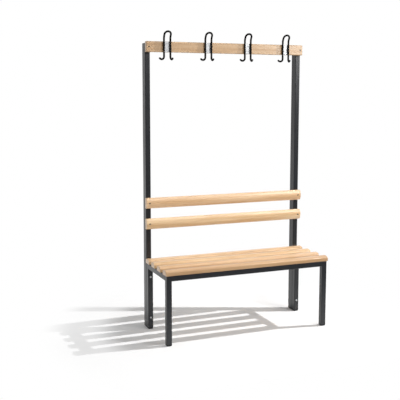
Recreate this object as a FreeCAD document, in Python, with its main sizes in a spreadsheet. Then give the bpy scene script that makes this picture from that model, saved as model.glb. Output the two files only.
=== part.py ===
import FreeCAD, Part
import math
import os
import re

import Sketcher

# One-sided cloakroom bench: a tube frame with a slatted seat and back, and a hook rail on two uprights.
# Millimetres, +Z up, the front faces -Y. The origin is on the floor, in the middle of the footprint.

SIZES = {
    # Welded bench frame of square tube
    "frame_width": 990,
    "frame_depth": 350,
    "frame_top": 388,
    "tube_width": 30,
    "tube_wall": 2,
    "tube_corner": 3,
    # Uprights of rectangular tube, bolted behind the rear legs
    "upright_depth": 50,
    "upright_height": 1636,
    # Plastic feet and caps
    "foot_height": 9,
    "foot_round": 7,
    "cap_height": 3,
    "cap_round": 2,
    "plug_length": 11,
    "plug_wall": 2,
    # Beech slats of the seat and the back
    "slat_overhang": 5,
    "slat_width": 60,
    "slat_thick": 30,
    "slat_crown": 9,
    "slat_edge": 7,
    "slat_under_edge": 5,
    "slat_end_edge": 3,
    "seat_slat_count": 4,
    "seat_overhang": 6,
    "seat_rear_gap": 2,
    "back_slat_height": 616,
    "back_slat_spacing": 120,
    # Beech hook rail
    "rail_height": 60,
    "rail_thick": 28,
    "rail_edge": 4,
    "rail_drop": 18,
    # Wire hooks
    "hook_count": 4,
    "hook_end_margin": 120,
    "wire_diameter": 11,
    "hook_leg_spacing": 38,
    "hook_lean_angle": 29,
    "hook_lean_start": 14,
    "hook_lean_radius": 30,
    "hook_loop_straight": 10,
    "hook_foot_drop": 25,
    "hook_foot_radius": 14,
    "hook_foot_turn_angle": 165,
    "hook_foot_splay_angle": 41,
    "wire_tip_share": 0.8,
    # Plates that carry the hooks
    "plate_width": 40,
    "plate_thick": 2,
    "plate_margin": 1,
    "plate_corner": 3,
    "plate_screw_spacing": 36,
    "plate_screw_diameter": 4,
    "plate_screw_length": 20,
    "screw_point": 3,
    "sink_share": 0.9,
    # Screws from below into the seat slats
    "seat_screw_diameter": 6,
    "seat_screw_head": 12,
    "seat_screw_head_height": 4,
    "seat_screw_bite": 16,
    "seat_screw_inset": 16,
    # Screws through the back slats and the hook rail into the uprights
    "end_screw_diameter": 5,
    "end_screw_head": 9,
    "end_screw_head_height": 3.5,
    "end_screw_recess": 6,
    "end_screw_bore": 10,
    "end_screw_grip": 6,
    # Bolts that join the rear legs and the uprights
    "bolt_diameter": 6,
    "bolt_head": 11,
    "bolt_head_height": 4,
    "bolt_low": 70,
    "bolt_high": 310,
    "washer_diameter": 13,
    "washer_thick": 1.6,
    "nut_across": 10,
    "nut_height": 5,
    "head_round_share": 0.6,
    # Play of screws and bolts in the tubes, and the overrun of cuts
    "hole_play": 0.25,
    "cut_overrun": 1,
}

# Places worked out from the sizes
DEPTH = "(seat_overhang + frame_depth + upright_depth + washer_thick + nut_height + nut_across / 2)"
FRAME_FRONT = f"(seat_overhang - {DEPTH} / 2)"
UPRIGHT_FRONT = f"({FRAME_FRONT} + frame_depth)"
UPRIGHT_REAR = f"({UPRIGHT_FRONT} + upright_depth)"
SIDE_X = "(frame_width / 2 - tube_width / 2)"
SLAT_LENGTH = "(frame_width + 2 * slat_overhang)"
RAIL_CENTRE = "(upright_height - rail_drop)"
RAIL_FRONT = f"({UPRIGHT_FRONT} - rail_thick)"
SEAT_REAR = f"({UPRIGHT_FRONT} - seat_rear_gap)"
SEAT_PITCH = "((frame_depth + seat_overhang - seat_rear_gap - slat_width) / (seat_slat_count - 1))"
HOOK_PITCH = "((frame_width - 2 * hook_end_margin) / (hook_count - 1))"
PLATE_HEIGHT = "(rail_height - 2 * plate_margin)"
SINK_DEPTH = "(plate_thick * sink_share)"
SIDES = (("left", "-1"), ("right", "1"))

V = FreeCAD.Vector
# Lengths nearer than this are the same, and a swept wire may differ this share from its path
SAME = 1e-6
SWEEP_SHARE = 1e-3
ALONG_X = FreeCAD.Rotation(V(0, 1, 0), 90)
ALONG_Y = FreeCAD.Rotation(V(1, 0, 0), -90)
FACING_FRONT = FreeCAD.Rotation(V(1, 0, 0), 90)
UPSIDE_DOWN = FreeCAD.Rotation(V(1, 0, 0), 180)
SLAT_UP = FreeCAD.Rotation(V(0, 1, 0), V(0, 0, 1), V(1, 0, 0), "ZXY")
SLAT_FRONT = FreeCAD.Rotation(V(0, 0, 1), V(0, -1, 0), V(1, 0, 0), "ZXY")

doc = FreeCAD.newDocument("cloakroom_bench")
sheet = doc.addObject("Spreadsheet::Sheet", "Sizes")
for row, (alias, value) in enumerate(SIZES.items(), start=1):
    sheet.set(f"A{row}", alias)
    sheet.set(f"B{row}", str(value))
    sheet.setAlias(f"B{row}", alias)
doc.recompute()
nodes = []


def bound(formula):
    """Write a formula of size names as an expression on the sheet."""
    return re.sub(r"[a-z][a-z_]*", lambda word: f"Sizes.{word[0]}" if word[0] in SIZES else word[0], formula)


def number(formula):
    return float(sheet.evalExpression(bound(formula)))


def place(thing, x, y, z, turn=FreeCAD.Rotation()):
    """Turn a piece and tie its place to the sheet."""
    thing.Placement = FreeCAD.Placement(V(), turn)
    for axis, formula in zip("xyz", (x, y, z)):
        thing.setExpression(f"Placement.Base.{axis}", bound(formula))


def new_body(name, is_node=True):
    body = doc.addObject("PartDesign::Body", name)
    body.Label = name
    if is_node:
        nodes.append(body)
    return body


def sketch_on(body, role, offset="0"):
    """Start a sketch on one of the body's own planes, moved along its normal."""
    plane = next(feature for feature in body.Origin.OriginFeatures if feature.Role == role)
    sketch = body.newObject("Sketcher::SketchObject", f"{body.Label}_sketch")
    sketch.AttachmentSupport = [(plane, "")]
    sketch.MapMode = "FlatFace"
    sketch.setExpression("AttachmentOffset.Base.z", bound(offset))
    return sketch


def hold(sketch, constraint, formula):
    index = sketch.addConstraint(constraint)
    sketch.setExpression(f"Constraints[{index}]", bound(formula))


def pin(sketch, geometry, point, x, y):
    """Tie a point of the sketch to its distances from the origin."""
    hold(sketch, Sketcher.Constraint("DistanceX", -1, 1, geometry, point, number(x)), x)
    hold(sketch, Sketcher.Constraint("DistanceY", -1, 1, geometry, point, number(y)), y)


def outline(sketch, points):
    """Draw a closed outline of straight lines."""
    first = sketch.GeometryCount
    corners = [V(number(x), number(y), 0) for x, y in points]
    for start, end in zip(corners, corners[1:] + corners[:1]):
        sketch.addGeometry(Part.LineSegment(start, end))
    for k, (x, y) in enumerate(points):
        before = first + (k - 1) % len(points)
        sketch.addConstraint(Sketcher.Constraint("Coincident", before, 2, first + k, 1))
        pin(sketch, first + k, 1, x, y)


def rectangle(sketch, wide, deep):
    x, y = f"({wide}) / 2", f"({deep}) / 2"
    outline(sketch, [(f"-{x}", f"-{y}"), (x, f"-{y}"), (x, y), (f"-{x}", y)])


def circles(sketch, radius, centres):
    for x, y in centres:
        k = sketch.GeometryCount
        sketch.addGeometry(Part.Circle(V(number(x), number(y), 0), V(0, 0, 1), number(radius)))
        hold(sketch, Sketcher.Constraint("Radius", k, number(radius)), radius)
        pin(sketch, k, 3, x, y)


def pad(body, sketch, length, middle=False):
    feature = body.newObject("PartDesign::Pad", f"{body.Label}_pad")
    feature.Profile = sketch
    feature.setExpression("Length", bound(length))
    feature.SideType = "Symmetric" if middle else "One side"
    doc.recompute()
    return feature


def pocket(body, sketch, depth=None, towards_normal=False):
    """Cut to a depth, or right through both ways where no depth is given."""
    feature = body.newObject("PartDesign::Pocket", f"{body.Label}_pocket")
    feature.Profile = sketch
    if depth is None:
        feature.Type = "ThroughAll"
        feature.SideType = "Symmetric"
    else:
        feature.setExpression("Length", bound(depth))
        feature.Reversed = towards_normal
    before = feature.BaseFeature.Shape.Volume
    doc.recompute()
    if feature.Shape.Volume >= before:
        raise RuntimeError(f"a cut in {body.Label} removes nothing")
    return feature


def revolve(body, points):
    """Turn an outline of radius and height about the body's Z axis."""
    sketch = sketch_on(body, "XZ_Plane")
    outline(sketch, points)
    feature = body.newObject("PartDesign::Revolution", f"{body.Label}_turning")
    feature.Profile = sketch
    feature.ReferenceAxis = (sketch, ["V_Axis"])
    doc.recompute()
    return feature


def dress(body, kind, base, size, test):
    """Round or chamfer the edges of a feature that pass a test."""
    names = [f"Edge{k}" for k, edge in enumerate(base.Shape.Edges, start=1) if test(edge)]
    feature = body.newObject(f"PartDesign::{kind}", f"{body.Label}_{kind}")
    feature.Base = (base, names)
    feature.setExpression("Radius" if kind == "Fillet" else "Size", bound(size))
    doc.recompute()
    return feature


def is_level(edge, height):
    """Whether an edge lies in the plane at this height."""
    box = edge.BoundBox
    return abs(box.ZMin - height) < SAME and abs(box.ZMax - height) < SAME


def is_upright(edge):
    box = edge.BoundBox
    return box.ZLength > max(box.XLength, box.YLength)


def tube(name, deep, length):
    """A hollow length of steel tube along Z, with rounded corners."""
    body = new_body(name)
    section = sketch_on(body, "XY_Plane")
    rectangle(section, "tube_width", deep)
    rectangle(section, "tube_width - 2 * tube_wall", f"{deep} - 2 * tube_wall")
    profile = pad(body, section, length)
    half = number("tube_width / 2")
    dress(body, "Fillet", profile, "tube_corner",
          lambda edge: is_upright(edge) and math.isclose(abs(edge.CenterOfMass.x), half))
    return body


def drill(body, radius, centres):
    """Drill right through a tube along its Y axis."""
    sketch = sketch_on(body, "XZ_Plane")
    circles(sketch, radius, centres)
    pocket(body, sketch)


def mitre(body, corners):
    """Saw a tube's end at 45 degrees by cutting a triangle away."""
    sketch = sketch_on(body, "XZ_Plane")
    outline(sketch, corners)
    pocket(body, sketch)


def end_plug(name, deep, height, lip_round):
    """A plastic end piece: a rounded lip as wide as the tube, and a hollow plug that fills its bore."""
    body = new_body(name)
    lip = sketch_on(body, "XY_Plane")
    rectangle(lip, "tube_width", deep)
    base = pad(body, lip, height)
    corners = dress(body, "Fillet", base, "tube_corner", is_upright)
    dress(body, "Fillet", corners, lip_round, lambda edge: is_level(edge, 0))
    plug = sketch_on(body, "XY_Plane", height)
    rectangle(plug, "tube_width - 2 * tube_wall", f"{deep} - 2 * tube_wall")
    rectangle(plug, "tube_width - 2 * tube_wall - 2 * plug_wall", f"{deep} - 2 * tube_wall - 2 * plug_wall")
    pad(body, plug, "plug_length")
    return body


def front_or_rear_legs(row, y, is_rear):
    """A leg at each side, mitred into the rail above it, with its foot."""
    for side, sign in SIDES:
        leg = tube(f"{side}_{row}_leg", "tube_width", "frame_top - foot_height")
        inner = f"-{sign} * tube_width / 2"
        outer = f"{sign} * tube_width / 2"
        top = "frame_top - foot_height"
        mitre(leg, [(outer, top), (inner, top), (inner, f"{top} - tube_width")])
        if is_rear:
            drill(leg, "bolt_diameter / 2 + hole_play",
                  [("0", "bolt_low - foot_height"), ("0", "bolt_high - foot_height")])
        place(leg, f"{sign} * {SIDE_X}", y, "foot_height")
        foot = end_plug(f"{side}_{row}_foot", "tube_width", "foot_height", "foot_round")
        place(foot, f"{sign} * {SIDE_X}", y, "0")


def cross_rail(name, y):
    """The rail across the top of two legs, mitred at both ends."""
    rail = tube(name, "tube_width", "frame_width")
    low, high = "tube_width / 2", "-tube_width / 2"
    mitre(rail, [(high, "0"), (low, "0"), (low, "tube_width")])
    mitre(rail, [(high, "frame_width"), (low, "frame_width"), (low, "frame_width - tube_width")])
    place(rail, "-frame_width / 2", y, "frame_top - tube_width / 2", ALONG_X)


def seat_screw_places():
    """How far behind the front of the frame each slat's screw is, from the rear slat to the front one."""
    rear_centre = "frame_depth - seat_rear_gap - slat_width / 2"
    middle = [f"{rear_centre} - {k} * {SEAT_PITCH}" for k in range(1, SIZES["seat_slat_count"] - 1)]
    return ["frame_depth - tube_width - seat_screw_inset", *middle, "tube_width + seat_screw_inset"]


def side_rails():
    for side, sign in SIDES:
        rail = tube(f"{side}_side_rail", "tube_width", "frame_depth - 2 * tube_width")
        drill(rail, "seat_screw_diameter / 2 + hole_play",
              [("0", f"{y} - tube_width") for y in seat_screw_places()])
        front = f"{FRAME_FRONT} + tube_width"
        place(rail, f"{sign} * {SIDE_X}", front, "frame_top - tube_width / 2", ALONG_Y)


def uprights():
    """The tall posts behind the rear legs, drilled for the bolts and for the screws of slats and rail."""
    for side, sign in SIDES:
        post = tube(f"{side}_upright", "upright_depth", "upright_height - foot_height")
        drill(post, "bolt_diameter / 2 + hole_play",
              [("0", "bolt_low - foot_height"), ("0", "bolt_high - foot_height")])
        front = sketch_on(post, "XZ_Plane", "upright_depth / 2")
        heights = ("back_slat_height", "back_slat_height + back_slat_spacing", RAIL_CENTRE)
        circles(front, "end_screw_diameter / 2", [("0", f"{height} - foot_height") for height in heights])
        pocket(post, front, "tube_wall + cut_overrun")
        middle = f"{UPRIGHT_FRONT} + upright_depth / 2"
        place(post, f"{sign} * {SIDE_X}", middle, "foot_height")
        foot = end_plug(f"{side}_upright_foot", "upright_depth", "foot_height", "foot_round")
        place(foot, f"{sign} * {SIDE_X}", middle, "0")
        cap = end_plug(f"{side}_upright_cap", "upright_depth", "cap_height", "cap_round")
        place(cap, f"{sign} * {SIDE_X}", middle, "upright_height + cap_height", UPSIDE_DOWN)


def slat(name):
    """A beech slat along Z: flat underneath, crowned on top, with rounded edges and ends."""
    body = new_body(name)
    section = sketch_on(body, "XY_Plane")
    half, shoulder = "slat_width / 2", "slat_thick - slat_crown"
    crown_radius = "(slat_width ^ 2 / 4 + slat_crown ^ 2) / (2 * slat_crown)"
    points = [("-slat_width / 2", shoulder), ("-slat_width / 2", "0"), (half, "0"), (half, shoulder)]
    corners = [V(number(x), number(y), 0) for x, y in points]
    for k, (start, end) in enumerate(zip(corners, corners[1:])):
        section.addGeometry(Part.LineSegment(start, end))
        pin(section, k, 1, *points[k])
    pin(section, 2, 2, *points[3])
    for k in (0, 1):
        section.addConstraint(Sketcher.Constraint("Coincident", k, 2, k + 1, 1))
    section.addGeometry(Part.Arc(corners[3], V(0, number("slat_thick"), 0), corners[0]))
    section.addConstraint(Sketcher.Constraint("Coincident", 3, 1, 2, 2))
    section.addConstraint(Sketcher.Constraint("Coincident", 3, 2, 0, 1))
    hold(section, Sketcher.Constraint("Radius", 3, number(crown_radius)), crown_radius)
    plank = pad(body, section, SLAT_LENGTH, middle=True)
    level = number(shoulder)
    upper = dress(body, "Fillet", plank, "slat_edge",
                  lambda edge: is_upright(edge) and math.isclose(edge.CenterOfMass.y, level))
    lower = dress(body, "Fillet", upper, "slat_under_edge",
                  lambda edge: is_upright(edge) and abs(edge.CenterOfMass.y) < SAME)
    end = number(f"{SLAT_LENGTH} / 2")
    dress(body, "Fillet", lower, "slat_end_edge", lambda edge: is_level(edge, end) or is_level(edge, -end))
    return body


def seat_slats():
    """The seat's slats, from the rear one to the front one, with blind holes for the screws from below."""
    for k, screw in enumerate(seat_screw_places()):
        body = slat(f"seat_slat_{k + 1}")
        centre = f"({SEAT_REAR} - slat_width / 2 - {k} * {SEAT_PITCH})"
        across = f"{FRAME_FRONT} + {screw} - {centre}"
        under = sketch_on(body, "XZ_Plane")
        circles(under, "seat_screw_diameter / 2", [(across, f"{sign} * {SIDE_X}") for side, sign in SIDES])
        pocket(body, under, "seat_screw_bite")
        place(body, "0", centre, "frame_top", SLAT_UP)


def bore_ends(body, thick):
    """Holes with a recess for the screw heads, one at each end of a slat or rail."""
    centres = [("0", f"{sign} * {SIDE_X}") for side, sign in SIDES]
    through = sketch_on(body, "XZ_Plane")
    circles(through, "end_screw_diameter / 2", centres)
    pocket(body, through)
    recess = sketch_on(body, "XZ_Plane", f"-{thick}")
    circles(recess, "end_screw_bore / 2", centres)
    pocket(body, recess, "end_screw_recess", towards_normal=True)


def back_slats():
    for name, height in (("lower", "back_slat_height"), ("upper", "back_slat_height + back_slat_spacing")):
        body = slat(f"{name}_back_slat")
        bore_ends(body, "slat_thick")
        place(body, "0", UPRIGHT_FRONT, height, SLAT_FRONT)


def hook_places():
    """The distance of each hook from the middle of the rail."""
    count = SIZES["hook_count"]
    return [f"({k} - (hook_count - 1) / 2) * {HOOK_PITCH}" for k in range(count)]


def plate_screw_heights():
    return "-plate_screw_spacing / 2", "plate_screw_spacing / 2"


def hook_rail():
    """The board that carries the hooks, with its long edges and its ends rounded."""
    body = new_body("hook_rail")
    section = sketch_on(body, "XY_Plane")
    half = "rail_height / 2"
    outline(section, [(f"-{half}", "0"), (half, "0"), (half, "rail_thick"), (f"-{half}", "rail_thick")])
    board = pad(body, section, "frame_width", middle=True)
    rounded = dress(body, "Fillet", board, "rail_edge", is_upright)
    end = number("frame_width / 2")
    dress(body, "Fillet", rounded, "slat_end_edge", lambda edge: is_level(edge, end) or is_level(edge, -end))
    bore_ends(body, "rail_thick")
    front = sketch_on(body, "XZ_Plane", "-rail_thick")
    centres = [(z, x) for x in hook_places() for z in plate_screw_heights()]
    circles(front, "plate_screw_diameter / 2", centres)
    pocket(body, front, "plate_screw_length - plate_thick", towards_normal=True)
    place(body, "0", UPRIGHT_FRONT, RAIL_CENTRE, SLAT_FRONT)


def hook_wire():
    """One bent wire: a loop that leans forward, two legs, and feet that turn up outwards and backwards."""
    radius, half = number("wire_diameter / 2"), number("hook_leg_spacing / 2")
    leg_y = -number("plate_thick + wire_diameter / 2")
    foot_z = -number("rail_height / 2 + hook_foot_drop")
    bend_z = number("rail_height / 2 + hook_lean_start")
    lean, bend = math.radians(number("hook_lean_angle")), number("hook_lean_radius")
    splay, turn = math.radians(number("hook_foot_splay_angle")), math.radians(number("hook_foot_turn_angle"))
    foot = number("hook_foot_radius")
    rise = V(0, -math.sin(lean), math.cos(lean))

    def foot_point(side, angle):
        reach = foot * (1 - math.cos(angle))
        return V(side * (half + reach * math.cos(splay)), leg_y + reach * math.sin(splay),
                 foot_z - foot * math.sin(angle))

    def bend_point(side, angle):
        return V(side * half, leg_y - bend * (1 - math.cos(angle)), bend_z + bend * math.sin(angle))

    def half_of_hook(side):
        tip, low, heel = (foot_point(side, angle) for angle in (turn, turn / 2, 0))
        start, middle, end = (bend_point(side, angle) for angle in (0, lean / 2, lean))
        shoulder = end + rise * number("hook_loop_straight")
        curves = [Part.Arc(tip, low, heel), Part.LineSegment(heel, start), Part.Arc(start, middle, end),
                  Part.LineSegment(end, shoulder)]
        return tip, shoulder, curves

    right_tip, right_top, right = half_of_hook(1)
    left_tip, left_top, left = half_of_hook(-1)
    crest = (right_top + left_top) / 2 + rise * half
    edges = [curve.toShape() for curve in (*right, Part.Arc(right_top, crest, left_top), *reversed(left))]
    path = Part.Wire(Part.__sortEdges__(edges))
    first = path.OrderedEdges[0]
    start = path.OrderedVertexes[0].Point
    section = Part.Wire(Part.makeCircle(radius, start, first.tangentAt(first.getParameterByLength(0))))
    wire = path.makePipeShell([section], True, False)
    if not math.isclose(wire.Volume, math.pi * radius ** 2 * path.Length, rel_tol=SWEEP_SHARE):
        raise RuntimeError("the hook's wire does not fill its path")

    def is_at_tip(edge):
        gap = min((edge.CenterOfMass - tip).Length for tip in (right_tip, left_tip))
        return gap < radius and isinstance(edge.Curve, Part.Circle)

    return wire.makeFillet(radius * number("wire_tip_share"), list(filter(is_at_tip, wire.Edges)))


def hooks():
    """The wire hooks, each on a plate that is screwed to the front of the rail."""
    shape = hook_wire()
    for k, x in enumerate(hook_places(), start=1):
        hook = doc.addObject("Part::Feature", f"hook_{k}")
        hook.Label = f"hook_{k}"
        hook.Shape = shape.copy()
        place(hook, x, RAIL_FRONT, RAIL_CENTRE)
        nodes.append(hook)
        plate = new_body(f"hook_plate_{k}")
        sheet_metal = sketch_on(plate, "XY_Plane")
        rectangle(sheet_metal, "plate_width", PLATE_HEIGHT)
        blank = pad(plate, sheet_metal, "plate_thick")
        dress(plate, "Fillet", blank, "plate_corner",
              lambda edge: not is_level(edge, 0) and not is_level(edge, number("plate_thick")))
        through = sketch_on(plate, "XY_Plane")
        circles(through, "plate_screw_diameter / 2", [("0", y) for y in plate_screw_heights()])
        drilled = pocket(plate, through)
        dress(plate, "Chamfer", drilled, SINK_DEPTH,
              lambda edge: isinstance(edge.Curve, Part.Circle) and len(edge.Vertexes) == 1
              and is_level(edge, number("plate_thick")))
        place(plate, x, RAIL_FRONT, RAIL_CENTRE, FACING_FRONT)


def sunk_screw(name):
    """A countersunk wood screw, pointing down from the face that it is flush with."""
    body = new_body(name, is_node=False)
    shank = "plate_screw_diameter / 2"
    revolve(body, [("0", "0"), (f"{shank} + {SINK_DEPTH}", "0"), (shank, f"-{SINK_DEPTH}"),
                   (shank, "screw_point - plate_screw_length"), ("0", "-plate_screw_length")])
    return body


def round_head_screw(name, diameter, head, head_height, length):
    """A screw or bolt that points up, with a rounded head below its seat."""
    body = new_body(name, is_node=False)
    shank, rim_radius = f"{diameter} / 2", f"{head} / 2"
    turned = revolve(body, [("0", f"-{head_height}"), (rim_radius, f"-{head_height}"), (rim_radius, "0"),
                            (shank, "0"), (shank, length), ("0", length)])
    rim = number(head_height)
    dress(body, "Fillet", turned, f"{head_height} * head_round_share", lambda edge: is_level(edge, -rim))
    return body


def washer():
    body = new_body("washer", is_node=False)
    ring = sketch_on(body, "XY_Plane")
    circles(ring, "washer_diameter / 2", [("0", "0")])
    circles(ring, "bolt_diameter / 2", [("0", "0")])
    pad(body, ring, "washer_thick")
    return body


def cap_nut():
    """A hexagon nut with a domed end, bored for the bolt."""
    flats = doc.addObject("Part::Prism", "nut_flats")
    flats.Polygon = 6
    flats.setExpression("Circumradius", bound("nut_across / sqrt(3)"))
    flats.setExpression("Height", bound("nut_height"))
    dome = doc.addObject("Part::Sphere", "nut_dome")
    dome.Angle1 = 0
    dome.setExpression("Radius", bound("nut_across / 2"))
    place(dome, "0", "0", "nut_height")
    solid = doc.addObject("Part::Fuse", "nut_solid")
    solid.Base = flats
    solid.Tool = dome
    bore = doc.addObject("Part::Cylinder", "nut_bore")
    bore.setExpression("Radius", bound("bolt_diameter / 2"))
    bore.setExpression("Height", bound("nut_height"))
    nut = doc.addObject("Part::Cut", "cap_nut")
    nut.Base = solid
    nut.Tool = bore
    doc.recompute()
    return nut


def group(name, piece, places, turn=FreeCAD.Rotation()):
    """Copies of one fastener at their places, kept together as one node of separate solids."""
    copies = []
    for k, (x, y, z) in enumerate(places, start=1):
        copy = doc.addObject("App::Link", f"{name}_{k}")
        copy.LinkedObject = piece
        place(copy, x, y, z, turn)
        copies.append(copy)
    whole = doc.addObject("Part::Compound", name)
    whole.Label = name
    whole.Links = copies
    nodes.append(whole)


def fasteners():
    plate_face = f"{RAIL_FRONT} - plate_thick"
    places = [(x, plate_face, f"{RAIL_CENTRE} + {z}") for x in hook_places() for z in plate_screw_heights()]
    group("hook_plate_screws", sunk_screw("plate_screw"), places, FACING_FRONT)

    seat_screw = round_head_screw("seat_screw", "seat_screw_diameter", "seat_screw_head",
                                  "seat_screw_head_height", "tube_width + seat_screw_bite")
    places = [(f"{sign} * {SIDE_X}", f"{FRAME_FRONT} + {y}", "frame_top - tube_width")
              for side, sign in SIDES for y in seat_screw_places()]
    group("seat_slat_screws", seat_screw, places)

    grip = "tube_wall + end_screw_grip - end_screw_recess"
    for name, thick, heights in (
            ("back_slat", "slat_thick", ("back_slat_height", "back_slat_height + back_slat_spacing")),
            ("hook_rail", "rail_thick", (RAIL_CENTRE,))):
        screw = round_head_screw(f"{name}_screw", "end_screw_diameter", "end_screw_head",
                                 "end_screw_head_height", f"{thick} + {grip}")
        seat = f"{UPRIGHT_FRONT} - {thick} + end_screw_recess"
        places = [(f"{sign} * {SIDE_X}", seat, z) for side, sign in SIDES for z in heights]
        group(f"{name}_screws", screw, places, ALONG_Y)

    bolt = round_head_screw("frame_bolt", "bolt_diameter", "bolt_head", "bolt_head_height",
                            "tube_width + upright_depth + washer_thick + nut_height")
    ends = [(f"{sign} * {SIDE_X}", z) for side, sign in SIDES for z in ("bolt_low", "bolt_high")]
    group("frame_bolts", bolt, [(x, f"{UPRIGHT_FRONT} - tube_width", z) for x, z in ends], ALONG_Y)
    group("frame_washers", washer(), [(x, UPRIGHT_REAR, z) for x, z in ends], ALONG_Y)
    group("frame_nuts", cap_nut(), [(x, f"{UPRIGHT_REAR} + washer_thick", z) for x, z in ends], ALONG_Y)


def check_and_write():
    """Stop on any failed feature or bad solid, then write each node's shape."""
    doc.recompute()
    for thing in doc.Objects:
        if "Invalid" in thing.State or "Error" in thing.State:
            raise RuntimeError(f"{thing.Label} failed: {thing.State}")
    os.makedirs("parts", exist_ok=True)
    for node in nodes:
        if node.Shape.isNull() or not node.Shape.isValid():
            raise RuntimeError(f"{node.Label} has no valid shape")
    for node in nodes:
        node.Shape.exportStep(f"parts/{node.Label}.step")


front_or_rear_legs("front", f"{FRAME_FRONT} + tube_width / 2", is_rear=False)
front_or_rear_legs("rear", f"{UPRIGHT_FRONT} - tube_width / 2", is_rear=True)
cross_rail("front_rail", f"{FRAME_FRONT} + tube_width / 2")
cross_rail("rear_rail", f"{UPRIGHT_FRONT} - tube_width / 2")
side_rails()
uprights()
seat_slats()
back_slats()
hook_rail()
hooks()
fasteners()
check_and_write()
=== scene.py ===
import math

import bmesh
import bpy
from bpy.props import FloatProperty, FloatVectorProperty, PointerProperty
from mathutils import Matrix, Vector


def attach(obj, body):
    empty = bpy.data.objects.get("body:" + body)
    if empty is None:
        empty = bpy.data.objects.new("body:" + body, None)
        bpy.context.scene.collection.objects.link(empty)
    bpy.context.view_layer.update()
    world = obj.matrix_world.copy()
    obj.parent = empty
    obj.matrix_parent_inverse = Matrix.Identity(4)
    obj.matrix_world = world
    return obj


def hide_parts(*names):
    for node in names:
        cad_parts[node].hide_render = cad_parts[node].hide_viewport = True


# Looks of a cloakroom bench: lacquered beech, powder-coated tube, coated wire and zinc-plated metal.
# Metres, in the frame of the solids: +Z up, +X to the right along the seat, +Y to the back.

bl_info = {
    "name": "Cloakroom Bench",
    "version": (1, 0, 0),
    "blender": (4, 5, 0),
    "location": "View3D > Sidebar > Bench",
    "description": "Finishes a slatted cloakroom bench and sets it on a studio floor",
    "category": "Object",
}

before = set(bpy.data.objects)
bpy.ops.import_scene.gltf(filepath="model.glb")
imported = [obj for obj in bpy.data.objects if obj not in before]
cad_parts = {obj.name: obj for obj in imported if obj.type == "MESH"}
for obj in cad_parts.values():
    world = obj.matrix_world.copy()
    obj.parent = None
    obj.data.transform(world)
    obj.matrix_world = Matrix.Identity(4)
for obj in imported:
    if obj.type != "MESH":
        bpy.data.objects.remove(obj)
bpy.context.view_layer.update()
BODY = "root"

# Each board's tint of the beech, as shares of its red, green and blue: partly its own tone, partly
# painted light, lighter and whiter on the back slats for a painted sheen and darker on the front seat
# slat and the hook rail for painted shade
BOARD_TINTS_AND_PAINTED_LIGHT = {
    "seat_slat_1": (1.00, 1.03, 1.06),
    "seat_slat_2": (1.01, 1.05, 1.04),
    "seat_slat_3": (0.96, 0.97, 0.97),
    "seat_slat_4": (0.81, 0.77, 0.70),
    "lower_back_slat": (1.15, 1.26, 1.32),
    "upper_back_slat": (1.15, 1.21, 1.28),
    "hook_rail": (0.81, 0.83, 0.83),
}
HOOKS = ("hook_1", "hook_2", "hook_3", "hook_4")
HOOK_PLATES = ("hook_plate_1", "hook_plate_2", "hook_plate_3", "hook_plate_4")
POSTS = ("front_leg", "rear_leg", "upright", "side_rail")
TUBES = ("front_rail", "rear_rail", *(f"{side}_{post}" for side in ("left", "right") for post in POSTS))
ENDS = ("front_foot", "rear_foot", "upright_foot", "upright_cap")
PLASTIC_ENDS = tuple(f"{side}_{end}" for side in ("left", "right") for end in ENDS)
PLAIN_FASTENERS = ("frame_washers", "frame_nuts")

# Beech: how its marks stretch along and across the grain, and its shift from one board to the next
STREAK_STRETCH = (0.045, 1.0, 1.0)
LINE_STRETCH = (0.1, 9.0, 9.0)
FLECK_STRETCH = (1.0, 6.0, 6.0)
RING_STRETCH = (0.0, 2.2, 9.0)
PORE_SCALE = 7.0
BOARD_SHIFT = (1.7, 0.31, 0.53)
# Beech: the span of noise over which each mark comes in, then from what to what where it isn't 0 to 1
STREAK_SPAN = (0.36, 0.66)
LINE_SPAN = (0.42, 0.68)
FLECK_SPAN = (0.61, 0.72)
END_SPAN = (0.75, 0.95)
RING_SPAN = (0.40, 0.64, 0.15, 0.75)
PORE_SPAN = (0.58, 0.68, 0.0, 0.5)
BEECH_GLOSS_SPAN = (0.3, 0.7, 0.36, 0.48)
LINE_STRENGTH = 0.45
LINE_DEPTH = 0.4
FLECK_STRENGTH = 0.22

# Coats: scale of the broad clouds, spans of noise for dimples and clouds, and what the clouds change
CLOUD_SCALE = 9.0
DIMPLE_SPAN = (0.35, 0.7)
CLOUD_SPAN = (0.2, 0.8)
CLOUD_BLEND = (0.5, 1.0)
CLOUD_GLOSS = (-0.05, 0.05)
# Coats: dimples of the screws and of the plastic, as shares of the powder coat's
SCREW_PEEL_SIZE = 1 / 4
SCREW_PEEL_DEPTH = 1 / 3
PLASTIC_PEEL_SIZE = 1 / 2

# Zinc: span of its crystals' shades, and the stretch, gloss and depth of its drawn texture
CRYSTAL_SPAN = (0.1, 0.9)
DRAWN_STRETCH = (40.0, 40.0, 2500.0)
DRAWN_GLOSS_SPAN = (0.3, 0.7, 0.30, 0.46)
DRAWN_DEPTH = 0.000004

# Fasteners: rings of a drive as shares of its reach and depth, and of a head as shares of its own size
DRIVE_RINGS = ((0.55, 1.0), (0.9, 0.7), (1.0, 0.0))
HEAD_RINGS = ((0.72, 1.0), (0.88, 0.86), (0.97, 0.62), (1.0, 0.35), (1.0, 0.0))
TIP_SHARE = 0.1
CROSS_HALF_WIDTH = 0.26
RING_POINTS = 48
SHARP_ANGLE = math.radians(35)
WELD_DISTANCE = 1e-6
SORT_DIGITS = 4
# Fasteners: the axes that they lie along, and the turn of each from head up
ALONG_Y, ALONG_Z = 1, 2
HEAD_TURNS = {ALONG_Y: Matrix.Rotation(math.pi / 2, 4, "X"), ALONG_Z: Matrix.Rotation(math.pi, 4, "X")}
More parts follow.
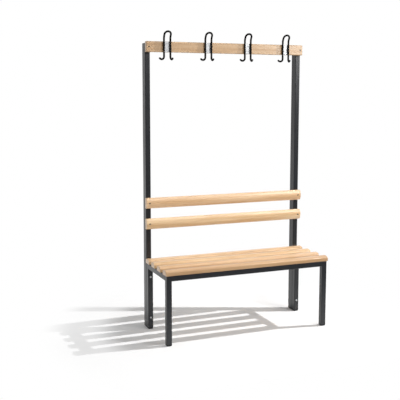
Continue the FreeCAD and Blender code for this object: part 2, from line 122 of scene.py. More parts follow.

# Floor: whiteness of its paper and of its bounce, and the spans over which a painted glow lightens its
# shadow
PAPER_WHITE = 0.975
BOUNCE_WHITE = 0.8
BEHIND_LIFT = (-0.05, 0.35, 0.0, 1.0)
INNER_LIFT = (-0.6, -0.1, 0.125, 0.2)
OUTER_LIFT = (0.26, 0.44, 1.0, 0.25)
LEFT_LIFT = (-0.7, -0.2, 0.02, 0.0)
# World: the span of direction over which each side of the studio gives way to the rest
CAMERA_SIDE_SPAN = (-0.75, -0.25)
LEFT_SIDE_SPAN = (-0.55, -0.1)
LEFT_LIGHT_SPAN = (-0.9, -0.5)


class BeechFinish(bpy.types.PropertyGroup):
    """Clear-lacquered beech"""

    pale: FloatVectorProperty(
        name="Pale wood", description="Colour between the growth rings", subtype="COLOR", size=3,
        default=(0.85, 0.565, 0.325), min=0, max=1)
    heart: FloatVectorProperty(
        name="Dark wood", description="Colour of the denser streaks", subtype="COLOR", size=3,
        default=(0.71, 0.42, 0.205), min=0, max=1)
    fleck: FloatVectorProperty(
        name="Flecks", description="Colour of the short rays that mark beech", subtype="COLOR", size=3,
        default=(0.40, 0.21, 0.095), min=0, max=1)
    streak_width: FloatProperty(
        name="Streak width", description="Breadth of the broad streaks across the grain", unit="LENGTH",
        default=0.02, min=0.005)
    fleck_length: FloatProperty(
        name="Fleck length", description="Length of a fleck along the grain", unit="LENGTH",
        default=0.0045, min=0.0005)
    relief: FloatProperty(
        name="Grain relief", description="Depth of the open grain under the lacquer", unit="LENGTH",
        default=0.00002, min=0)


class CoatFinish(bpy.types.PropertyGroup):
    """Powder coat of the tubes, coating of the wire, plastic of the ends and grey of the end screws"""

    frame_dark: FloatVectorProperty(
        name="Frame coat", description="Main colour of the powder coat", subtype="COLOR", size=3,
        default=(0.008, 0.009, 0.012), min=0, max=1)
    frame_light: FloatVectorProperty(
        name="Frame mottle", description="Lighter colour of the coat's fine mottle", subtype="COLOR",
        size=3, default=(0.014, 0.0155, 0.0205), min=0, max=1)
    wire_dark: FloatVectorProperty(
        name="Wire coat", description="Main colour of the coated wire", subtype="COLOR", size=3,
        default=(0.006, 0.0055, 0.005), min=0, max=1)
    wire_light: FloatVectorProperty(
        name="Wire mottle", description="Lighter colour of the wire's coating", subtype="COLOR", size=3,
        default=(0.010, 0.009, 0.0085), min=0, max=1)
    plastic_dark: FloatVectorProperty(
        name="Plastic", description="Main colour of feet and caps", subtype="COLOR", size=3,
        default=(0.010, 0.010, 0.011), min=0, max=1)
    plastic_light: FloatVectorProperty(
        name="Plastic mottle", description="Lighter colour of feet and caps", subtype="COLOR", size=3,
        default=(0.018, 0.018, 0.019), min=0, max=1)
    screw_dark: FloatVectorProperty(
        name="Dark screws", description="Main colour of the phosphated screws", subtype="COLOR", size=3,
        default=(0.140, 0.128, 0.115), min=0, max=1)
    screw_light: FloatVectorProperty(
        name="Dark screw mottle", description="Lighter colour of the phosphated screws",
        subtype="COLOR", size=3, default=(0.190, 0.174, 0.157), min=0, max=1)
    peel_size: FloatProperty(
        name="Orange peel", description="Breadth of one dimple of the powder coat", unit="LENGTH",
        default=0.0016, min=0.0002)
    peel_depth: FloatProperty(
        name="Peel depth", description="Depth of the dimples", unit="LENGTH", default=0.000015, min=0)


class ZincFinish(bpy.types.PropertyGroup):
    """Zinc plating of the hook plates and the fasteners"""

    bright: FloatVectorProperty(
        name="Bright zinc", description="Colour of the clean plating", subtype="COLOR", size=3,
        default=(0.70, 0.71, 0.72), min=0, max=1)
    dull: FloatVectorProperty(
        name="Dull zinc", description="Colour of the duller crystals", subtype="COLOR", size=3,
        default=(0.63, 0.64, 0.655), min=0, max=1)
    crystal: FloatProperty(
        name="Crystal size", description="Breadth of one crystal of the plating", unit="LENGTH",
        default=0.004, min=0.0005)


class FastenerSizes(bpy.types.PropertyGroup):
    """Shapes of the screw and bolt heads"""

    bolt_shank: FloatProperty(
        name="Bolt shank", description="Diameter of the frame bolts", unit="LENGTH", default=0.006)
    bolt_head: FloatProperty(
        name="Bolt head", description="Height of the bolts' domed heads", unit="LENGTH", default=0.004)
    bolt_chamfer: FloatProperty(
        name="Bolt chamfer", description="Length of the taper at a bolt's end", unit="LENGTH",
        default=0.001)
    socket_across: FloatProperty(
        name="Hexagon socket", description="Width across the flats of the bolts' sockets",
        unit="LENGTH", default=0.004)
    seat_shank: FloatProperty(
        name="Seat screw shank", description="Diameter of the screws under the seat", unit="LENGTH",
        default=0.006)
    seat_head: FloatProperty(
        name="Seat screw head", description="Height of the heads under the seat", unit="LENGTH",
        default=0.004)
    end_shank: FloatProperty(
        name="End screw shank", description="Diameter of the screws at the ends of slats and rail",
        unit="LENGTH", default=0.005)
    end_head: FloatProperty(
        name="End screw head", description="Height of the heads at the ends of slats and rail",
        unit="LENGTH", default=0.0035)
    plate_shank: FloatProperty(
        name="Plate screw shank", description="Diameter of the screws in the hook plates",
        unit="LENGTH", default=0.004)
    plate_sink: FloatProperty(
        name="Plate screw head", description="Height of the countersunk heads", unit="LENGTH",
        default=0.0018)
    point: FloatProperty(
        name="Point", description="Length of a wood screw's point", unit="LENGTH", default=0.003)
    recess_share: FloatProperty(
        name="Recess", description="Depth of the drive as a share of the head's height",
        subtype="FACTOR", default=0.6, min=0.1, max=0.9)
    arm_share: FloatProperty(
        name="Cross length", description="Length of the cross's arms as a share of the head's radius",
        subtype="FACTOR", default=0.6, min=0.2, max=0.9)


class StageSettings(bpy.types.PropertyGroup):
    """Studio floor, lamps and camera"""

    floor_size: FloatProperty(
        name="Floor", description="Half the floor's width", unit="LENGTH", default=12.0)
    floor_front: FloatProperty(
        name="Floor front", description="Distance from the bench's middle to the paper's front edge",
        unit="LENGTH", default=0.8)
    shadow_near: FloatProperty(
        name="Shadow starts to fade",
        description="Distance from the bench at which shadows start to fade", unit="LENGTH",
        default=0.66)
    shadow_pale: FloatProperty(
        name="Shadow pale", description="Distance at which the shadows' first fade ends", unit="LENGTH",
        default=0.85)
    shadow_ebb: FloatProperty(
        name="Shadow ebbs", description="Distance at which the shadows' second fade starts",
        unit="LENGTH", default=0.92)
    shadow_far: FloatProperty(
        name="Shadow gone", description="Distance from the bench at which the floor is plain",
        unit="LENGTH", default=1.14)
    first_fade: FloatProperty(
        name="First fade", description="Share of the shadow that the first fade takes",
        subtype="FACTOR", default=0.56, min=0, max=1)
    sky_light: FloatProperty(
        name="Ambient light", description="Strength of the even light from all round", default=0.225,
        min=0)
    left_light: FloatProperty(
        name="Light from the left", description="Strength of the even light from the far left",
        default=0.7, min=0)
    camera_side: FloatProperty(
        name="Camera side", description="Brightness of the studio's camera side in reflections",
        subtype="FACTOR", default=0.34, min=0, max=1)
    left_side: FloatProperty(
        name="Left side", description="Brightness of the studio's left side in reflections",
        subtype="FACTOR", default=0.6, min=0, max=1)
    key_place: FloatVectorProperty(
        name="Key lamp", description="Place of the lamp that casts the shadow", subtype="TRANSLATION",
        unit="LENGTH", size=3, default=(2.28, -0.532, 2.776))
    key_power: FloatProperty(
        name="Key power", description="Power of the key lamp", unit="POWER", default=315.0)
    key_reach: FloatProperty(
        name="Key reach",
        description="Distance at which the key lamp has its power; it doesn't fade further out",
        unit="LENGTH", default=3.3)
    key_size: FloatProperty(
        name="Key size", description="Radius of the key lamp", unit="LENGTH", default=0.03)
    softbox_place: FloatVectorProperty(
        name="Softbox", description="Place of the softbox that shines on the hook rail",
        subtype="TRANSLATION", unit="LENGTH", size=3, default=(2.05, -2.45, 2.1))
    softbox_power: FloatProperty(
        name="Softbox power", description="Power of the softbox", unit="POWER", default=20.5)
    softbox_size: FloatProperty(
        name="Softbox width", description="Width of the softbox", unit="LENGTH", default=0.5)
    strip_place: FloatVectorProperty(
        name="Strip", description="Place of the wide lamp high in front", subtype="TRANSLATION",
        unit="LENGTH", size=3, default=(0.5, -2.4, 2.7))
    strip_power: FloatProperty(
        name="Strip power", description="Power of the wide lamp", unit="POWER", default=34.0)
    strip_size: FloatProperty(
        name="Strip width", description="Width of the wide lamp", unit="LENGTH", default=2.6)
    strip_share: FloatProperty(
        name="Strip height", description="Height of the wide lamp as a share of its width",
        subtype="FACTOR", default=0.35, min=0.05, max=1)
    lamps_aim: FloatVectorProperty(
        name="Lamps' aim", description="Point that the lamps in front face", subtype="TRANSLATION",
        unit="LENGTH", size=3, default=(0.2, 0.12, 1.0))
    camera_place: FloatVectorProperty(
        name="Camera", description="Place of the camera", subtype="TRANSLATION", unit="LENGTH", size=3,
        default=(-1.7672, -3.8093, 1.3550))
    camera_yaw: FloatProperty(
        name="Yaw", description="Turn of the camera to the right", subtype="ANGLE", default=0.38548)
    camera_pitch: FloatProperty(
        name="Pitch", description="Tilt of the camera upwards", subtype="ANGLE", default=-0.11404)
    camera_roll: FloatProperty(
        name="Roll", description="Turn of the camera about its own axis", subtype="ANGLE",
        default=0.00088)
    lens: FloatProperty(
        name="Lens", description="Focal length", unit="CAMERA", default=65.929)
    camera_shift: FloatProperty(
        name="Vertical shift", description="Shift of the lens as a share of the picture",
        default=-0.055)


class NodeGraph:
    """Short calls that add shader nodes to a tree and join them."""

    def __init__(self, tree):
        self.tree = tree

    def add(self, kind, **settings):
        """A new node with these settings."""
        node = self.tree.nodes.new(kind)
        for name, value in settings.items():
            setattr(node, name, value)
        return node

    def feed(self, socket, value):
        """Link an output to a socket, or set the socket's value."""
        if isinstance(value, bpy.types.NodeSocket):
            self.tree.links.new(value, socket)
        else:
            socket.default_value = value

    def output(self, kind, **values):
        """The first output of a new node that has these values on its sockets."""
        node = self.add(kind)
        for name, value in values.items():
            self.feed(node.inputs[name], value)
        return node.outputs[0]

    def mix_shaders(self, factor, first, second):
        """A blend of two shaders."""
        node = self.add("ShaderNodeMixShader")
        for socket, value in zip(node.inputs, (factor, first, second)):
            self.feed(socket, value)
        return node.outputs[0]

    def seen(self, rays):
        """A mask of the rays that see a surface as the camera does, from Light Path's outputs."""
        mirrored = self.math("ADD", rays["Is Camera Ray"], rays["Is Glossy Ray"])
        return self.math("ADD", mirrored, rays["Is Transmission Ray"])

    def split(self, vector):
        """The X, Y and Z of a vector."""
        node = self.add("ShaderNodeSeparateXYZ")
        self.feed(node.inputs["Vector"], vector)
        return node.outputs

    def stretch(self, vector, shares, scale=1.0):
        """A vector scaled by its own share along each axis."""
        node = self.add("ShaderNodeMapping")
        self.feed(node.inputs["Vector"], vector)
        self.feed(node.inputs["Scale"], tuple(scale * share for share in shares))
        return node.outputs["Vector"]

    def noise(self, vector, scale=1.0, detail=2.0, roughness=0.5):
        """Noise with a mean near 0.5."""
        node = self.add("ShaderNodeTexNoise")
        names = ("Vector", "Scale", "Detail", "Roughness")
        for name, value in zip(names, (vector, scale, detail, roughness)):
            self.feed(node.inputs[name], value)
        return node.outputs["Fac"]

    def remap(self, value, low, high, to_low=0.0, to_high=1.0):
        """A smooth step between two levels while a value runs from low to high."""
        node = self.add("ShaderNodeMapRange", interpolation_type="SMOOTHSTEP")
        names = ("Value", "From Min", "From Max", "To Min", "To Max")
        for name, item in zip(names, (value, low, high, to_low, to_high)):
            self.feed(node.inputs[name], item)
        return node.outputs["Result"]

    def math(self, operation, first, second=0.0):
        """A sum, product or other operation on one or two values."""
        node = self.add("ShaderNodeMath", operation=operation)
        self.feed(node.inputs[0], first)
        self.feed(node.inputs[1], second)
        return node.outputs[0]

    def mix(self, factor, first, second):
        """A blend of two colours."""
        node = self.add("ShaderNodeMix", data_type="RGBA")
        self.feed(node.inputs["Factor"], factor)
        self.feed(node.inputs["A"], first)
        self.feed(node.inputs["B"], second)
        return node.outputs["Result"]


def solid(colour):
    """A colour with full opacity, as sockets want it."""
    return (*colour, 1.0)


def new_group(name, inputs, outputs):
    """A shader node group with named sockets, and the graph that fills it."""
    tree = bpy.data.node_groups.new(name, "ShaderNodeTree")
    for socket, kind in inputs:
        tree.interface.new_socket(name=socket, in_out="INPUT", socket_type=f"NodeSocket{kind}")
    for socket, kind in outputs:
        tree.interface.new_socket(name=socket, in_out="OUTPUT", socket_type=f"NodeSocket{kind}")
    graph = NodeGraph(tree)
    return tree, graph, graph.add("NodeGroupInput").outputs, graph.add("NodeGroupOutput").inputs


def new_material(name, **surface):
    """A material with a Principled shader whose plain values are set on its own sockets."""
    material = bpy.data.materials.new(name)
    material.use_nodes = True
    graph = NodeGraph(material.node_tree)
    shader = material.node_tree.nodes["Principled BSDF"]
    for socket, value in surface.items():
        graph.feed(shader.inputs[socket.replace("_", " ").title().replace("Ior", "IOR")], value)
    return material, graph, shader.inputs


def place_group(graph, tree, **values):
    """Put a node group into a material with its own values."""
    node = graph.add("ShaderNodeGroup", node_tree=tree)
    for name, value in values.items():
        graph.feed(node.inputs[name.replace("_", " ").title()], value)
    return node.outputs


def add_bump(graph, height, distance, shader_inputs):
    """Give a shader a relief of so many metres."""
    bump = graph.output("ShaderNodeBump", Height=height, Distance=distance, Strength=1.0)
    graph.feed(shader_inputs["Normal"], bump)


def dress(nodes, material):
    """Give solids of the frame a finish."""
    for name in nodes:
        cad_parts[name].material_slots[0].material = material


def beech_grain(wood):
    """Node group: beech with broad streaks, fine growth lines, flecks, and darker end grain."""
    tree, graph, given, out = new_group(
        "Beech Grain",
        [("Place", "Vector"), ("Facing", "Vector"),
         ("Pale", "Color"), ("Heart", "Color"), ("Fleck", "Color")],
        [("Colour", "Color"), ("Roughness", "Float"), ("Relief", "Float")])
    across = 1 / wood.streak_width
    along = 1 / wood.fleck_length
    place = given["Place"]
    streaks = graph.noise(graph.stretch(place, STREAK_STRETCH, across), detail=3.0, roughness=0.55)
    colour = graph.mix(graph.remap(streaks, *STREAK_SPAN), given["Pale"], given["Heart"])
    lines = graph.noise(graph.stretch(place, LINE_STRETCH, across), detail=4.0, roughness=0.65)
    line_mask = graph.remap(lines, *LINE_SPAN)
    colour = graph.mix(graph.math("MULTIPLY", line_mask, LINE_STRENGTH), colour, given["Heart"])
    flecks = graph.noise(graph.stretch(place, FLECK_STRETCH, along), detail=1.0)
    fleck_mask = graph.remap(flecks, *FLECK_SPAN)
    colour = graph.mix(graph.math("MULTIPLY", fleck_mask, FLECK_STRENGTH), colour, given["Fleck"])

    end = graph.remap(graph.math("ABSOLUTE", graph.split(given["Facing"])["X"]), *END_SPAN)
    rings = graph.noise(graph.stretch(place, RING_STRETCH, across), detail=2.0)
    pores = graph.noise(place, scale=along * PORE_SCALE, detail=1.0)
    end_colour = graph.mix(graph.remap(rings, *RING_SPAN), given["Pale"], given["Heart"])
    end_colour = graph.mix(graph.remap(pores, *PORE_SPAN), end_colour, given["Fleck"])
    graph.feed(out["Colour"], graph.mix(end, colour, end_colour))

    graph.feed(out["Roughness"], graph.remap(lines, *BEECH_GLOSS_SPAN))
    dips = graph.math("ADD", graph.math("MULTIPLY", line_mask, LINE_DEPTH), fleck_mask)
    graph.feed(out["Relief"], graph.math("SUBTRACT", 1.0, dips))
    return tree


def beech_board(name, order, grain, wood):
    """The finish of one board, with its own stretch of grain and its own tint, which partly paints
    sheen or shade on it.
    """
    # The tint paints a sheen on the back slats and shade on the front seat slat and the hook rail.
    tint = BOARD_TINTS_AND_PAINTED_LIGHT[name]
    material, graph, shader = new_material(f"beech_{name}", specular_ior_level=0.45, coat_weight=0.85,
                                           coat_roughness=0.25)
    coordinates = graph.add("ShaderNodeTexCoord").outputs
    moved = graph.add("ShaderNodeMapping")
    graph.feed(moved.inputs["Vector"], coordinates["Object"])
    graph.feed(moved.inputs["Location"], tuple(order * shift for shift in BOARD_SHIFT))
    colours = {part: solid(channel * share for channel, share in zip(getattr(wood, part), tint))
               for part in ("pale", "heart", "fleck")}
    made = place_group(graph, grain, place=moved.outputs["Vector"], facing=coordinates["Normal"],
                       **colours)
    graph.feed(shader["Base Color"], made["Colour"])
    graph.feed(shader["Roughness"], made["Roughness"])
    add_bump(graph, made["Relief"], wood.relief, shader)
    return material


def fine_mottle():
    """Node group: a fine two-tone mottle, with dimples for the relief and a slight change of gloss."""
    tree, graph, given, out = new_group(
        "Fine Mottle",
        [("Place", "Vector"), ("Dark", "Color"), ("Light", "Color"),
         ("Dimples", "Float"), ("Gloss", "Float")],
        [("Colour", "Color"), ("Roughness", "Float"), ("Relief", "Float")])
    dimples = graph.noise(given["Place"], scale=given["Dimples"], detail=2.0)
    clouds = graph.noise(given["Place"], scale=CLOUD_SCALE, detail=4.0, roughness=0.6)
    share = graph.remap(clouds, *CLOUD_SPAN, *CLOUD_BLEND)
    blend = graph.math("MULTIPLY", graph.remap(dimples, *DIMPLE_SPAN), share)
    graph.feed(out["Colour"], graph.mix(blend, given["Dark"], given["Light"]))
    swing = graph.remap(clouds, *CLOUD_SPAN, *CLOUD_GLOSS)
    graph.feed(out["Roughness"], graph.math("ADD", given["Gloss"], swing))
    graph.feed(out["Relief"], dimples)
    return tree


def mottled_coat(name, dark, light, dimple, depth, gloss, **surface):
    """A coated or moulded surface with a fine mottle."""
    mottle = bpy.data.node_groups.get("Fine Mottle") or fine_mottle()
    material, graph, shader = new_material(name, **surface)
    place = graph.add("ShaderNodeTexCoord").outputs["Object"]
    made = place_group(graph, mottle, place=place, dark=solid(dark), light=solid(light),
                       dimples=1 / dimple, gloss=gloss)
    graph.feed(shader["Base Color"], made["Colour"])
    graph.feed(shader["Roughness"], made["Roughness"])
    add_bump(graph, made["Relief"], depth, shader)
    return material


def zinc_plating():
    """Bright zinc with faint crystals, and a fine drawn texture in its gloss."""
    ready = bpy.data.materials.get("zinc_plating")
    if ready:
        return ready
    zinc = bpy.context.scene.bench_zinc
    material, graph, shader = new_material("zinc_plating", metallic=0.5)
    place = graph.add("ShaderNodeTexCoord").outputs["Object"]
    crystals = graph.add("ShaderNodeTexVoronoi")
    graph.feed(crystals.inputs["Vector"], place)
    graph.feed(crystals.inputs["Scale"], 1 / zinc.crystal)
    shade = graph.remap(crystals.outputs["Color"], *CRYSTAL_SPAN)
    graph.feed(shader["Base Color"], graph.mix(shade, solid(zinc.dull), solid(zinc.bright)))
    drawn = graph.noise(graph.stretch(place, DRAWN_STRETCH), detail=3.0)
    graph.feed(shader["Roughness"], graph.remap(drawn, *DRAWN_GLOSS_SPAN))
    add_bump(graph, drawn, DRAWN_DEPTH, shader)
    return material


def blackened_steel():
    """Steel with a dull grey phosphate skin."""
    coat = bpy.context.scene.bench_coat
    return bpy.data.materials.get("blackened_steel") or mottled_coat(
        "blackened_steel", coat.screw_dark, coat.screw_light, coat.peel_size * SCREW_PEEL_SIZE,
        coat.peel_depth * SCREW_PEEL_DEPTH, gloss=0.45, specular_ior_level=0.4)


FASTENER_FINISHES = {"zinc": zinc_plating, "dark_steel": blackened_steel}


def solids_of(node):
    """The lowest and highest corner of each separate solid in a node of the frame."""
    shape = bmesh.new()
    shape.from_mesh(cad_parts[node].data)
    bmesh.ops.remove_doubles(shape, verts=shape.verts, dist=WELD_DISTANCE)
    left = set(shape.verts)
    boxes = []
    while left:
        found, queue = [], [left.pop()]
        while queue:
            vert = queue.pop()
            found.append(vert.co.copy())
            near = {edge.other_vert(vert) for edge in vert.link_edges} & left
            left -= near
            queue.extend(near)
        corners = [[pick(point[axis] for point in found) for axis in range(3)] for pick in (min, max)]
        boxes.append((Vector(corners[0]), Vector(corners[1])))
    shape.free()
    return sorted(boxes, key=lambda box: tuple(round(value, SORT_DIGITS) for value in box[0]))


def round_ring(angle):
    """Distance to a circle of radius 1, the same at every angle."""
    return 1.0


def hexagon_ring(angle):
    """Distance to a hexagon's side, for half a width across the flats of 1."""
    sector = math.radians(60)
    return 1 / math.cos((angle % sector) - sector / 2)


def cross_ring(angle):
    """Distance to the outline of a cross whose arms are 1 long."""
    quarter = math.radians(90)
    turn = abs((angle + quarter / 2) % quarter - quarter / 2)
    return min(1 / math.cos(turn), CROSS_HALF_WIDTH / max(math.sin(turn), CROSS_HALF_WIDTH / 2))


def rim_of(shape, ring):
    """The edges that join the points of a ring."""
    return [edge for edge in shape.edges if edge.verts[0] in ring and edge.verts[1] in ring]


def turn_piece(shape, rings, place):
    """Skin rings of (outline, radius, height), close both ends, and move the piece to its place."""
    verts = bmesh.ops.create_circle(shape, cap_ends=True, segments=RING_POINTS, radius=1.0)["verts"]
    angles = {vert: math.atan2(vert.co.y, vert.co.x) for vert in verts}
    made = list(verts)
    for step, (outline, radius, height) in enumerate(rings):
        if step:
            grown = bmesh.ops.extrude_edge_only(shape, edges=rim_of(shape, angles))["geom"]
            old = {tuple(vert.co): angle for vert, angle in angles.items()}
            fresh = [item for item in grown if isinstance(item, bmesh.types.BMVert)]
            angles = {vert: old[tuple(vert.co)] for vert in fresh}
            made += fresh
        for vert, angle in angles.items():
            reach = radius * outline(angle)
            vert.co = (reach * math.cos(angle), reach * math.sin(angle), height)
    bmesh.ops.edgeloop_fill(shape, edges=rim_of(shape, angles))
    bmesh.ops.transform(shape, matrix=place, verts=made)


def finished_mesh(name, shape, node, slot):
    """Turn a bmesh into fasteners that stand for a node of the frame."""
    bmesh.ops.recalc_face_normals(shape, faces=shape.faces)
    for face in shape.faces:
        face.smooth = True
    mesh = bpy.data.meshes.new(name)
    shape.to_mesh(mesh)
    shape.free()
    mesh.set_sharp_from_angle(angle=SHARP_ANGLE)
    mesh.materials.append(FASTENER_FINISHES[slot]())
    piece = bpy.data.objects.new(name, mesh)
    bpy.context.scene.collection.objects.link(piece)
    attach(piece, BODY)
    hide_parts(node)


def drive_rings(outline, reach, depth, head_top):
    """Rings of a drive recess, from its floor to its rim at the top of the head."""
    return [(outline, reach * across, head_top - depth * down) for across, down in DRIVE_RINGS]


def domed_head(radius, height, drive):
    """Rings of a head that stands on its seat at height 0, after those of its drive."""
    return drive + [(round_ring, radius * across, height * up) for across, up in HEAD_RINGS]


def shank_rings(radius, length, point):
    """Rings of a plain shank below the seat, with a point."""
    return [(round_ring, radius, 0.0), (round_ring, radius, point - length),
            (round_ring, radius * TIP_SHARE, -length)]


def headed_fasteners(name, node, slot, axis, shank, head, outline, reach_share, point):
    """Domed screws or bolts in place of a node's plain ones, each fitted to the box of its solid."""
    sizes = bpy.context.scene.bench_fasteners
    shape = bmesh.new()
    for low, high in solids_of(node):
        span = high - low
        radius = max(span[k] for k in range(3) if k != axis) / 2
        seat = (low + high) / 2
        seat[axis] = low[axis] + head
        drive = drive_rings(outline, radius * reach_share, head * sizes.recess_share, head)
        rings = domed_head(radius, head, drive) + shank_rings(shank / 2, span[axis] - head, point)
        turn_piece(shape, rings, Matrix.Translation(seat) @ HEAD_TURNS[axis])
    finished_mesh(name, shape, node, slot)


def sunk_fasteners(name, node, shank, sink, point):
    """Countersunk screws with cross recesses, flush with the plates' fronts."""
    sizes = bpy.context.scene.bench_fasteners
    shape = bmesh.new()
    for low, high in solids_of(node):
        radius = (high.x - low.x) / 2
        top = (low + high) / 2
        top.y = low.y
        drive = drive_rings(cross_ring, radius * sizes.arm_share, sink * sizes.recess_share, 0.0)
        rings = [*drive, (round_ring, radius, 0.0), (round_ring, shank / 2, -sink)]
        rings += shank_rings(shank / 2, high.y - low.y, point)[1:]
        turn_piece(shape, rings, Matrix.Translation(top) @ HEAD_TURNS[ALONG_Y])
    finished_mesh(name, shape, node, "zinc")


class BENCH_OT_finish_boards(bpy.types.Operator):
    """Lacquer the beech slats and the hook rail"""

    bl_idname = "bench.finish_boards"
    bl_label = "Finish Beech Boards"

    def execute(self, context):
        wood = context.scene.bench_beech
        grain = beech_grain(wood)
        for order, name in enumerate(BOARD_TINTS_AND_PAINTED_LIGHT):
            dress([name], beech_board(name, order, grain, wood))
        return {"FINISHED"}


class BENCH_OT_coat_frame(bpy.types.Operator):
    """Powder-coat the tubes of the frame"""

    bl_idname = "bench.coat_frame"
    bl_label = "Coat Frame"

    def execute(self, context):
        coat = context.scene.bench_coat
        dress(TUBES, mottled_coat("powder_coat", coat.frame_dark, coat.frame_light, coat.peel_size,
                                  coat.peel_depth, gloss=0.33, specular_ior_level=0.6))
        return {"FINISHED"}


class BENCH_OT_coat_hooks(bpy.types.Operator):
    """Coat the bent-wire hooks"""

    bl_idname = "bench.coat_hooks"
    bl_label = "Coat Hooks"

    def execute(self, context):
        coat = context.scene.bench_coat
        dress(HOOKS, mottled_coat("coated_wire", coat.wire_dark, coat.wire_light, coat.peel_size,
                                  coat.peel_depth, gloss=0.5, specular_ior_level=0.06))
        return {"FINISHED"}


class BENCH_OT_plate_metal(bpy.types.Operator):
    """Zinc-plate the hook plates, the washers and the nuts"""

    bl_idname = "bench.plate_metal"
    bl_label = "Plate Metal"

    def execute(self, context):
        dress((*HOOK_PLATES, *PLAIN_FASTENERS), zinc_plating())
        return {"FINISHED"}


class BENCH_OT_mould_ends(bpy.types.Operator):
    """Give the feet and caps their moulded plastic"""

    bl_idname = "bench.mould_ends"
    bl_label = "Mould Feet and Caps"

    def execute(self, context):
        coat = context.scene.bench_coat
        dress(PLASTIC_ENDS, mottled_coat("moulded_plastic", coat.plastic_dark, coat.plastic_light,
                                         coat.peel_size * PLASTIC_PEEL_SIZE, coat.peel_depth,
                                         gloss=0.5, specular_ior_level=0.3))
        return {"FINISHED"}


class BENCH_OT_drive_screws(bpy.types.Operator):
    """Make the screws and bolts with drive recesses in their heads"""

    bl_idname = "bench.drive_screws"
    bl_label = "Drive Screws and Bolts"

    def execute(self, context):
        sizes = context.scene.bench_fasteners
        heads = (("back_slat", "dark_steel", sizes.end_shank, sizes.end_head, ALONG_Y),
                 ("hook_rail", "dark_steel", sizes.end_shank, sizes.end_head, ALONG_Y),
                 ("seat_slat", "zinc", sizes.seat_shank, sizes.seat_head, ALONG_Z))
        for board, slot, shank, head, axis in heads:
            headed_fasteners(f"{board}_cross_screws", f"{board}_screws", slot, axis, shank, head,
                             cross_ring, sizes.arm_share, sizes.point)
        low, high = solids_of("frame_bolts")[0]
        headed_fasteners("frame_socket_bolts", "frame_bolts", "zinc", ALONG_Y, sizes.bolt_shank,
                         sizes.bolt_head, hexagon_ring, sizes.socket_across / (high.x - low.x),
                         sizes.bolt_chamfer)
        sunk_fasteners("hook_plate_cross_screws", "hook_plate_screws", sizes.plate_shank,
                       sizes.plate_sink, sizes.point)
        return {"FINISHED"}


def floor_finish(stage):
    """A white floor that shows the bench's shadow, lightened by a painted glow, is plain further out,
    and is clear from below.
    """
    material = bpy.data.materials.new("studio_floor")
    material.use_nodes = True
    material.node_tree.nodes.clear()
    graph = NodeGraph(material.node_tree)
    place = graph.add("ShaderNodeTexCoord").outputs["Object"]
    spot = graph.split(place)
    # A painted glow lightens the floor's shadow, more behind the bench and towards the far left.
    across = graph.math("MULTIPLY", graph.remap(spot["X"], *INNER_LIFT),
                        graph.remap(spot["X"], *OUTER_LIFT))
    behind = graph.math("MULTIPLY", graph.remap(spot["Y"], *BEHIND_LIFT), across)
    painted_glow = graph.math("ADD", behind, graph.remap(spot["X"], *LEFT_LIFT))
    shown = graph.add("ShaderNodeAddShader")
    graph.feed(shown.inputs[0], graph.output("ShaderNodeBsdfDiffuse", Color=solid((PAPER_WHITE,) * 3)))
    graph.feed(shown.inputs[1], graph.output("ShaderNodeEmission", Strength=painted_glow))

    distance = graph.add("ShaderNodeVectorMath", operation="LENGTH")
    graph.feed(distance.inputs[0], place)
    away = distance.outputs["Value"]
    first = graph.remap(away, stage.shadow_near, stage.shadow_pale, 0.0, stage.first_fade)
    second = graph.remap(away, stage.shadow_ebb, stage.shadow_far, 0.0, 1 - stage.first_fade)
    plain = graph.output("ShaderNodeEmission", Strength=1.0)
    faded = graph.mix_shaders(graph.math("ADD", first, second), shown.outputs[0], plain)

    bounce = graph.output("ShaderNodeBsdfDiffuse", Color=solid((BOUNCE_WHITE,) * 3))
    rays = graph.add("ShaderNodeLightPath").outputs
    surface = graph.mix_shaders(graph.seen(rays), bounce, faded)
    below = graph.add("ShaderNodeNewGeometry").outputs["Backfacing"]
    sided = graph.mix_shaders(below, surface, graph.output("ShaderNodeBsdfTransparent"))
    graph.feed(graph.add("ShaderNodeOutputMaterial").inputs["Surface"], sided)
    return material


def lay_floor(stage):
    """The studio floor, cut off at its front edge."""
    shape = bmesh.new()
    bmesh.ops.create_grid(shape, x_segments=1, y_segments=1, size=stage.floor_size)
    for vert in shape.verts:
        vert.co.y = max(vert.co.y, -stage.floor_front)
    mesh = bpy.data.meshes.new("studio_floor")
    shape.to_mesh(mesh)
    shape.free()
    mesh.materials.append(floor_finish(stage))
    floor = bpy.data.objects.new("studio_floor", mesh)
    bpy.context.scene.collection.objects.link(floor)


def light_world(stage):
    """Even light, stronger from the left and seen as white, with two dimmer sides in reflections."""
    world = bpy.data.worlds.new("studio_world")
    world.use_nodes = True
    bpy.context.scene.world = world
    graph = NodeGraph(world.node_tree)
    background = world.node_tree.nodes["Background"].inputs
    graph.feed(background["Color"], solid((1.0, 1.0, 1.0)))
    facing = graph.split(graph.add("ShaderNodeTexCoord").outputs["Generated"])
    near_camera = graph.remap(facing["Y"], *CAMERA_SIDE_SPAN, stage.camera_side, 1.0)
    leftward = graph.remap(facing["X"], *LEFT_SIDE_SPAN, stage.left_side, 1.0)
    mirrored = graph.math("MULTIPLY", near_camera, leftward)
    rays = graph.add("ShaderNodeLightPath").outputs
    level = graph.remap(rays["Is Glossy Ray"], 0.0, 1.0, 1.0, mirrored)
    sky = graph.remap(facing["X"], *LEFT_LIGHT_SPAN, stage.left_light, stage.sky_light)
    graph.feed(background["Strength"], graph.remap(graph.seen(rays), 0.0, 1.0, sky, level))


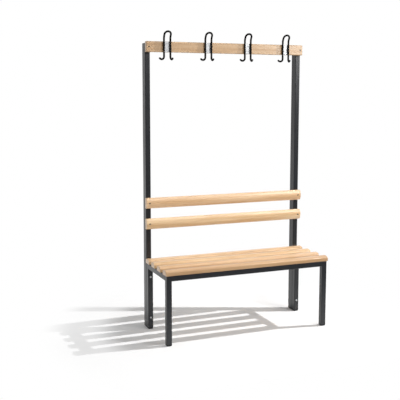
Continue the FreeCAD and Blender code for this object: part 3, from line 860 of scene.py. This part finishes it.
def add_lamp(name, kind, place, power, aim=None, reach=None, **settings):
    """A lamp out of the camera's sight. It faces its aim, and one with a reach doesn't fade."""
    lamp = bpy.data.lights.new(name, kind)
    lamp.energy = power
    for setting, value in settings.items():
        setattr(lamp, setting, value)
    holder = bpy.data.objects.new(name, lamp)
    holder.location = place
    if aim is not None:
        holder.rotation_euler = (Vector(aim) - Vector(place)).to_track_quat("-Z", "Y").to_euler()
    holder.visible_camera = False
    if reach is not None:
        lamp.use_nodes = True
        graph = NodeGraph(lamp.node_tree)
        even = graph.add("ShaderNodeLightFalloff")
        graph.feed(even.inputs["Strength"], reach ** -2)
        graph.feed(lamp.node_tree.nodes["Emission"].inputs["Strength"], even.outputs["Constant"])
    bpy.context.scene.collection.objects.link(holder)


def set_camera(stage):
    """The camera at the photograph's viewing angle."""
    lens = bpy.data.cameras.new("photo_camera")
    lens.lens = stage.lens
    lens.shift_y = stage.camera_shift
    camera = bpy.data.objects.new("photo_camera", lens)
    turn = Matrix.Rotation(-stage.camera_yaw, 4, "Z")
    tilt = Matrix.Rotation(math.pi / 2 + stage.camera_pitch, 4, "X")
    roll = Matrix.Rotation(stage.camera_roll, 4, "Z")
    camera.matrix_world = Matrix.Translation(stage.camera_place) @ turn @ tilt @ roll
    bpy.context.scene.collection.objects.link(camera)
    bpy.context.scene.camera = camera


class BENCH_OT_set_stage(bpy.types.Operator):
    """Lay the floor and set up the lamps and the camera"""

    bl_idname = "bench.set_stage"
    bl_label = "Set Stage"

    def execute(self, context):
        stage = context.scene.bench_stage
        context.scene.view_settings.view_transform = "Standard"
        lay_floor(stage)
        light_world(stage)
        add_lamp("key_lamp", "POINT", stage.key_place, stage.key_power, reach=stage.key_reach,
                 shadow_soft_size=stage.key_size)
        panels = (("softbox", stage.softbox_place, stage.softbox_power, stage.softbox_size, 1.0),
                  ("strip", stage.strip_place, stage.strip_power, stage.strip_size, stage.strip_share))
        for name, place, power, size, share in panels:
            add_lamp(name, "AREA", place, power, aim=stage.lamps_aim, shape="RECTANGLE", size=size,
                     size_y=size * share)
        set_camera(stage)
        return {"FINISHED"}


class BENCH_PT_tools(bpy.types.Panel):
    """Steps that finish the bench and set its stage"""

    bl_idname = "BENCH_PT_tools"
    bl_label = "Cloakroom Bench"
    bl_space_type = "VIEW_3D"
    bl_region_type = "UI"
    bl_category = "Bench"

    def draw(self, context):
        for step in STEPS:
            self.layout.operator(step.bl_idname)


STEPS = (BENCH_OT_finish_boards, BENCH_OT_coat_frame, BENCH_OT_coat_hooks, BENCH_OT_plate_metal,
         BENCH_OT_mould_ends, BENCH_OT_drive_screws, BENCH_OT_set_stage)
SETTINGS = {"bench_beech": BeechFinish, "bench_coat": CoatFinish, "bench_zinc": ZincFinish,
            "bench_fasteners": FastenerSizes, "bench_stage": StageSettings}


def register():
    for item in (*SETTINGS.values(), *STEPS, BENCH_PT_tools):
        bpy.utils.register_class(item)
    for name, item in SETTINGS.items():
        setattr(bpy.types.Scene, name, PointerProperty(type=item))


def unregister():
    for name in SETTINGS:
        delattr(bpy.types.Scene, name)
    for item in (BENCH_PT_tools, *reversed(STEPS), *SETTINGS.values()):
        bpy.utils.unregister_class(item)


def main():
    """Finish the bench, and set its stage."""
    register()
    bpy.ops.bench.finish_boards()
    bpy.ops.bench.coat_frame()
    bpy.ops.bench.coat_hooks()
    bpy.ops.bench.plate_metal()
    bpy.ops.bench.mould_ends()
    bpy.ops.bench.drive_screws()
    bpy.ops.bench.set_stage()


if __name__ == "__main__":
    main()
